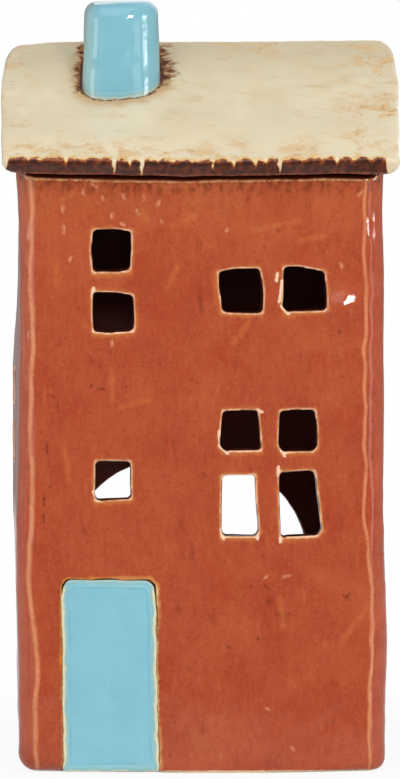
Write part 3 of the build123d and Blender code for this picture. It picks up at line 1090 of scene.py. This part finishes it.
def cream_roof_glaze():
    """Cream glaze brushed along the roof over iron brown, which shows at the eave and the chimney."""
    f = Finish("cream_roof_glaze")
    x = f.axis("X")
    up, under, foot = f.measure("up_slope"), f.measure("under"), f.measure("foot")
    strokes = f.noise(2.4, 4, 0.6, 0.4, f.stretched(0.35, 1, 1))
    patch = f.noise(10, 4, 0.6, 0.5)
    speck = f.noise(1.2, 4, 0.65, 0.2)

    # cream, duller towards the ridge and lighter towards the eave
    f.start(patch, (0.3, (216, 200, 166)), (0.5, (222, 208, 177)), (0.72, (227, 215, 187)))
    f.wash((202, 178, 134), strokes, 0.52, 0.8, 0.75)
    f.wash((192, 178, 148), f.ragged(up, patch, 10.0), 30, 47, 0.6)
    f.wash((230, 216, 184), f.ragged(up, patch, 8.0), 20, 8, 0.7)

    # ochre bloom and spots where it is worn: at the ends, the eave and the ridge
    to_end = f.fade(f.size(f.plus(x, 4.0)), 24, 40, 0.0, 0.9)
    worn = f.larger(to_end, f.larger(f.fade(up, 13, 2, 0.0, 0.9), f.fade(up, 30, 42, 0.0, 0.5)))
    flaked = f.noise(4.4, 4, 0.6, 0.3, f.stretched(0.75, 1, 1))
    bloom = f.times(worn, f.fade(flaked, 0.47, 0.66))
    f.coat((216, 174, 116), f.times(bloom, 0.75))
    spot = f.times(bloom, f.fade(f.noise(0.9, 3, 0.6, 0.0, f.stretched(0.7, 1, 1)), 0.54, 0.7))
    f.coat((160, 110, 54), f.times(spot, 0.8))

    # burnt brown at both sides of the chimney, on the front slope only
    middle = chimney_middle[0] / MM
    aside = f.size(f.minus(x, middle))
    near = f.smaller(foot, f.larger(f.minus(aside, 7.4), 0.3))
    smear = f.noise(1.9, 5, 0.7, 0.5, f.stretched(0.55, 1, 1))
    reach = f.times(f.fade(smear, 0.36, 0.64, 0.4, 4.8), f.fade(x, middle - 2, middle + 2, 0.6, 1.1))
    near = f.over(near, reach)
    f.wash((192, 148, 90), f.ragged(foot, flaked, 6.0), 7.0, 3.0, 0.75)
    lowest = f.minus(f.ragged(up, speck, 5.0), f.fade(x, middle - 2, middle + 2, 0.0, 3.0))
    highest = f.ragged(up, speck, 4.0)
    beside = f.times(f.fade(aside, 6.0, 7.6), f.fade(lowest, 25.5, 28.5), f.fade(highest, 44.5, 42.5),
                     f.fade(f.axis("Y"), 0.0, -1.0))
    stain = f.times(beside, f.fade(near, 1.0, 0.5))
    f.coat((156, 96, 48), f.times(stain, 0.9))
    dark = f.times(stain, f.fade(near, 0.75, 0.3))
    f.coat((70, 32, 15), f.times(dark, f.fade(speck, 0.45, 0.56)))
    f.wash((72, 40, 24), f.ragged(foot, speck, 1.8), 1.3, 1.0, 0.9)

    # cream dripping over the brown eave
    cells = f.add("ShaderNodeTexVoronoi", voronoi_dimensions="1D", feature="DISTANCE_TO_EDGE")
    f.feed(cells.inputs["W"], f.times(f.plus(x, speck), 1 / 3.4))
    cells.inputs["Scale"].default_value = 1.0
    gap = cells.outputs["Distance"]
    length = f.fade(f.noise(4.6, 2, 0.5, 0.0, f.stretched(1, 0.02, 0.02)), 0.47, 0.66, 0.1, 3.4)
    at_ends = f.fade(f.size(f.plus(x, 0.8)), 37.4, 38.4, 0.0, 4.0)
    drip = f.plus(f.times(length, f.fade(gap, 0.17, 0.02)), f.fade(gap, 0.45, 0.05, 0.0, 0.5),
                  f.fade(speck, 0.3, 0.7, -1.3, -0.3), at_ends)
    over_edge = f.minus(under, f.larger(up, 0.0), drip)
    low = f.fade(up, 4.5, 2.5)
    f.coat((228, 184, 112), f.times(low, f.fade(over_edge, -1.2, -0.2, 0.0, 0.9)))
    f.coat((146, 76, 40), f.times(low, f.fade(over_edge, -0.15, 0.15)))
    brown = f.lay((66, 37, 27), (100, 48, 31), f.fade(speck, 0.42, 0.62))
    f.coat(brown, f.times(low, f.fade(over_edge, 0.3, 1.0)))

    # the eave's lower lip and the dark underside
    lip = f.times(f.fade(under, 2.9, 3.2), f.fade(up, 0.7, 0.1))
    f.coat((150, 84, 60), f.times(lip, f.fade(speck, 0.35, 0.6, 0.1, 0.7)))
    below = f.times(f.fade(under, 3.2, 3.6), f.fade(up, 0.4, 1.0), f.fade(f.size(x), 38.4, 37.8))
    f.coat((36, 14, 8), below)
    f.set(base_color=f.colour, roughness=f.fade(patch, 0.3, 0.75, 0.07, 0.17))
    f.relief((f.noise(6, 2, 0.5), 0.2, 0.5), (strokes, 0.15, 0.2), (f.noise(1.4, 2, 0.5), 0.15, 0.1))
    return f.material


def blue_glaze(name, edge, level, pale, pale_up_to, pale_reach, ridge, thin_and_sheen_from):
    """Light blue glaze, even and smooth, breaking cream and ochre at its edge."""
    f = Finish(name)
    rim, height = f.measure(edge), f.axis("Z")
    blues = ((0.3, (130, 188, 204)), (0.52, (134, 192, 207)), (0.75, (137, 194, 208)))
    f.start(f.noise(5, 3, 0.55, 0.3), *((place, [part * level for part in tone]) for place, tone in blues))
    pooled = f.noise(2.2, 2, 0.5, 0.3, f.stretched(1, 1, 0.12))
    f.wash((148, 201, 211), pooled, 0.6, 0.8, 0.2)
    f.coat((92, 122, 124), f.dots(4.2, 0.05, 0.16))

    # a painted highlight and a painted shade line just inside the edge, where a pillowed edge catches and loses
    # the light; then the pale left side, thin glaze with a painted highlight on the chimney's left edge
    edge_light_and_shade = f.fade(f.noise(6, 2, 0.5), 0.35, 0.6, 0.2, ridge)
    for inset, width, tone in ((1.15, 0.5, (158, 208, 218)), (1.75, 0.35, (116, 174, 190))):
        line = f.fade(f.size(f.minus(rim, inset)), width, 0.1)
        f.coat(tone, f.times(line, edge_light_and_shade))
    f.wash((160, 198, 192), f.axis("X"), thin_and_sheen_from, thin_and_sheen_from - 1.8, 0.6)

    # the worn edge: grey green, then cream, then ochre brown
    lower = f.fade(height, pale_up_to, pale_up_to + 1.4, 1.0, 0.2)
    wider = f.times(lower, f.fade(height, 1.0, 3.0, 0.0, pale_reach))
    worn = f.minus(f.ragged(rim, f.noise(2.6, 2, 0.5), 0.9), wider)
    f.wash((142, 180, 174), worn, 1.9, 1.1, 0.6)
    f.coat((236, 222, 174), f.times(f.fade(worn, 1.25, 0.8, 0.0, pale), lower))
    f.wash((150, 100, 54), worn, 0.75, 0.55, 0.8)
    f.set(base_color=f.colour, roughness=f.fade(f.noise(4, 3, 0.6), 0.3, 0.75, 0.06, 0.14))
    f.relief((f.noise(5, 2, 0.5), 0.25, 0.4), (f.noise(1.3, 2, 0.5), 0.1, 0.1))
    return f.material


def dark_floor_glaze():
    """Near-black brown glaze with pools and a few specks, bare clay underneath."""
    f = Finish("dark_floor_glaze")
    mottle = f.noise(6, 4, 0.6)
    f.start(mottle, (0.3, (24, 12, 8)), (0.7, (46, 24, 15)))
    f.coat((96, 62, 42), f.dots(4, 0.05, 0.2))
    f.wash((206, 186, 156), f.ragged(f.axis("Z"), mottle, 0.5), 0.9, 0.5)
    f.set(base_color=f.colour, roughness=f.fade(mottle, 0.3, 0.7, 0.12, 0.3))
    f.relief((f.noise(4, 3, 0.5), 0.4, 0.3))
    return f.material


def pressed_foil():
    f = Finish("pressed_foil")
    f.two_tone(f.noise(3, 4, 0.6, 0.3), (205, 206, 208), (232, 232, 233), 0.16, 0.34, metallic=1.0)
    f.relief((f.noise(0.8, 3, 0.6), 0.08, 0.04), (f.noise(5, 2, 0.5), 0.2, 0.12))
    return f.material


def poured_wax():
    f = Finish("poured_wax")
    f.two_tone(f.noise(4, 4, 0.55), (232, 228, 216), (244, 241, 232), 0.3, 0.5,
               subsurface_weight=0.15, subsurface_scale=1.0)
    f.shader.inputs["Subsurface Radius"].default_value = (2 * MM, 1.6 * MM, 1.2 * MM)
    f.relief((f.noise(2.5, 3, 0.5), 0.2, 0.15))
    return f.material


def braided_cotton():
    f = Finish("braided_cotton")
    threads = f.noise(0.35, 2, 0.5, 0.0, f.stretched(1, 1, 0.3))
    f.two_tone(threads, (206, 200, 184), (240, 236, 224), 0.8, 0.95)
    f.relief((threads, 0.6, 0.1))
    return f.material


def tinned_steel():
    f = Finish("tinned_steel")
    f.two_tone(f.noise(1.2, 3, 0.6), (176, 177, 178), (204, 204, 203), 0.25, 0.42, metallic=1.0)
    f.relief((f.noise(0.5, 2, 0.5), 0.15, 0.03))
    return f.material


# Put the house together

def fit(piece, node, body, finish):
    """Let a finished piece stand for its CAD node, ride its body and carry its finish."""
    piece.data.materials.clear()
    piece.data.materials.append(finish)
    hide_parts(node)
    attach(piece, body)


orange = orange_wall_glaze()
for node, piece in part_walls(make_wall_ring()).items():
    fit(piece, node, "house", orange)
cream = cream_roof_glaze()
for node, piece in make_roof().items():
    fit(piece, node, "house", cream)
# level 0.965 paints the chimney's blue a little darker than the door's same glaze: painted shade that offsets
# the stronger lamp light on the chimney
blue_chimney = blue_glaze("blue_chimney_glaze", edge="foot", level=0.965, pale=0.3,
                          pale_up_to=chimney_high[2] / MM, pale_reach=0.0, ridge=0.2,
                          thin_and_sheen_from=chimney_low[0] / MM + 3.2)
fit(make_chimney(), "chimney", "house", blue_chimney)
blue_door = blue_glaze("blue_door_glaze", edge="rim", level=1.0, pale=0.85,
                       pale_up_to=door_high[2] / MM - 1.8, pale_reach=0.32, ridge=0.6,
                       thin_and_sheen_from=door_low[0] / MM - 1.0)
fit(make_door(), "door_panel", "house", blue_door)
fit(make_floor(), "floor_slab", "house", dark_floor_glaze())
fit(make_cup(), "tealight_cup", "tealight", pressed_foil())
fit(make_wax(), "tealight_wax", "tealight", poured_wax())
fit(make_wick(), "tealight_wick", "tealight", braided_cotton())
fit(make_tab(), "wick_tab", "tealight", tinned_steel())


# Floor, light and camera

scene = bpy.context.scene
scene.view_settings.view_transform = "Standard"

PAPER = (0.86, 0.86, 0.86, 1)
PAPER_RADIUS = 0.5
PAPER_DROP = 0.05 * MM
# Brightness of the white room: ahead and behind as mirrored, at the left and right, and as soft light
ROOM_AHEAD = 0.06
ROOM_BEHIND = 0.3
ROOM_SIDES = ((-1, 0.75), (1, 0.45))
ROOM_SOFT = 0.455
# Lamps: name, place, point aimed at, width, height and watts
LAMPS = [
    ("front_fill", (-0.2, -0.9, 1.1), (0, 0, 0.08), 1.6, 1.6, 10.3),
    ("left_panel_1", (-0.5, -0.8, -0.03), (0, 0, -0.03), 0.14, 0.5, 0.16),
    ("left_panel_2", (-0.5, -0.8, -0.03), (0, 0, -0.03), 0.28, 0.5, 0.32),
    ("left_panel_3", (-0.5, -0.8, -0.03), (0, 0, -0.03), 0.42, 0.5, 0.48),
    ("left_strip", (-0.83, -0.48, 0.17), (0, 0, 0.17), 0.4, 0.16, 0.6),
    ("right_panel", (0.6, -0.75, 0.0), (0, 0, 0.0), 0.2, 0.4, 0.5),
    ("right_strip_upper", (0.86, -0.4, 0.221), (0, 0, 0.221), 0.36, 0.058, 1.0),
    ("right_strip_lower", (0.86, -0.4, 0.17), (0, 0, 0.17), 0.36, 0.018, 0.3),
    ("small_window", (0.453, -0.971, 0.34), (0, 0, 0.1), 0.14, 0.14, 1.9),
    ("rear_fill", (0.5, 1.2, 0.9), (0, 0, 0.08), 1.6, 1.6, 6),
]
CAMERA_AZIMUTH = math.radians(-1.5)
CAMERA_ELEVATION = math.radians(4.5)
CAMERA_DISTANCE = 1.2
CAMERA_TARGET = Vector((0.7, 0, 75.07)) * MM
CAMERA_LENS = 269.1


def make_stage():
    """A pale paper floor: white to the eye with a soft shadow, and not mirrored in front of the house."""
    bpy.ops.object.select_all(action="DESELECT")
    bpy.ops.mesh.primitive_circle_add(vertices=96, radius=PAPER_RADIUS, fill_type="NGON",
                                      location=(0, 0, -PAPER_DROP))
    floor = bpy.context.object
    floor.name = "pale_floor"
    bpy.ops.object.transform_apply(location=True, rotation=True, scale=True)
    f = Finish("pale_paper")
    f.shader.inputs["Base Color"].default_value = PAPER
    f.set(roughness=0.9, specular_ior_level=0.0)
    ray = f.add("ShaderNodeLightPath").outputs

    def blend(share, under, over):
        node = f.add("ShaderNodeMixShader")
        for socket, value in zip(node.inputs, (share, under, over)):
            f.feed(socket, value)
        return node.outputs[0]

    away = f.add("ShaderNodeVectorMath", operation="LENGTH")
    f.feed(away.inputs[0], f.place)
    white = f.fade(away.outputs["Value"], 0.05, 0.14, 0.91, 1.0)
    seen = f.larger(ray["Is Camera Ray"], ray["Is Glossy Ray"], ray["Is Transmission Ray"])
    glow = f.add("ShaderNodeEmission").outputs[0]
    surface = blend(f.times(seen, white), f.shader.outputs[0], glow)
    in_front = f.fade(f.split(f.place, "Y"), -0.07, -0.13, 0.55, 1.0)
    clear = f.add("ShaderNodeBsdfTransparent").outputs[0]
    surface = blend(f.times(ray["Is Glossy Ray"], in_front), surface, clear)
    f.feed(f.nodes["Material Output"].inputs["Surface"], surface)
    floor.data.materials.append(f.material)


def make_world():
    """White to the eye; mirrored, white behind and beside the house and dim in front of it."""
    world = bpy.data.worlds.new("white_room")
    scene.world = world
    world.use_nodes = True
    w = Wiring(world.node_tree)
    ray = w.add("ShaderNodeLightPath").outputs
    way = w.add("ShaderNodeTexCoord").outputs["Generated"]
    mirrored = w.fade(w.split(way, "Y"), -0.55, 0.15, ROOM_AHEAD, ROOM_BEHIND)
    for side, strength in ROOM_SIDES:
        mirrored = w.larger(mirrored, w.fade(w.split(way, "X"), side * 0.6, side * 0.95, 0.0, strength))
    level = w.between(mirrored, ROOM_SOFT, ray["Is Diffuse Ray"])
    background = w.nodes["Background"].inputs
    w.feed(background["Strength"], w.between(level, 1.0, ray["Is Camera Ray"]))
    background["Color"].default_value = (1, 1, 1, 1)


def softbox(name, place, aim, width, height, watts):
    light = bpy.data.lights.new(name, "AREA")
    light.shape = "RECTANGLE"
    light.size = width
    light.size_y = height
    light.energy = watts
    lamp = bpy.data.objects.new(name, light)
    lamp.location = place
    lamp.rotation_euler = (Vector(place) - Vector(aim)).to_track_quat("Z", "Y").to_euler()
    bpy.context.collection.objects.link(lamp)


def make_camera():
    back = Vector((math.sin(CAMERA_AZIMUTH) * math.cos(CAMERA_ELEVATION),
                   -math.cos(CAMERA_AZIMUTH) * math.cos(CAMERA_ELEVATION), math.sin(CAMERA_ELEVATION)))
    camera = bpy.data.objects.new("camera", bpy.data.cameras.new("camera"))
    camera.data.lens = CAMERA_LENS
    camera.location = CAMERA_TARGET + CAMERA_DISTANCE * back
    camera.rotation_euler = back.to_track_quat("Z", "Y").to_euler()
    bpy.context.collection.objects.link(camera)
    scene.camera = camera


make_stage()
make_world()
for lamp in LAMPS:
    softbox(*lamp)
make_camera()
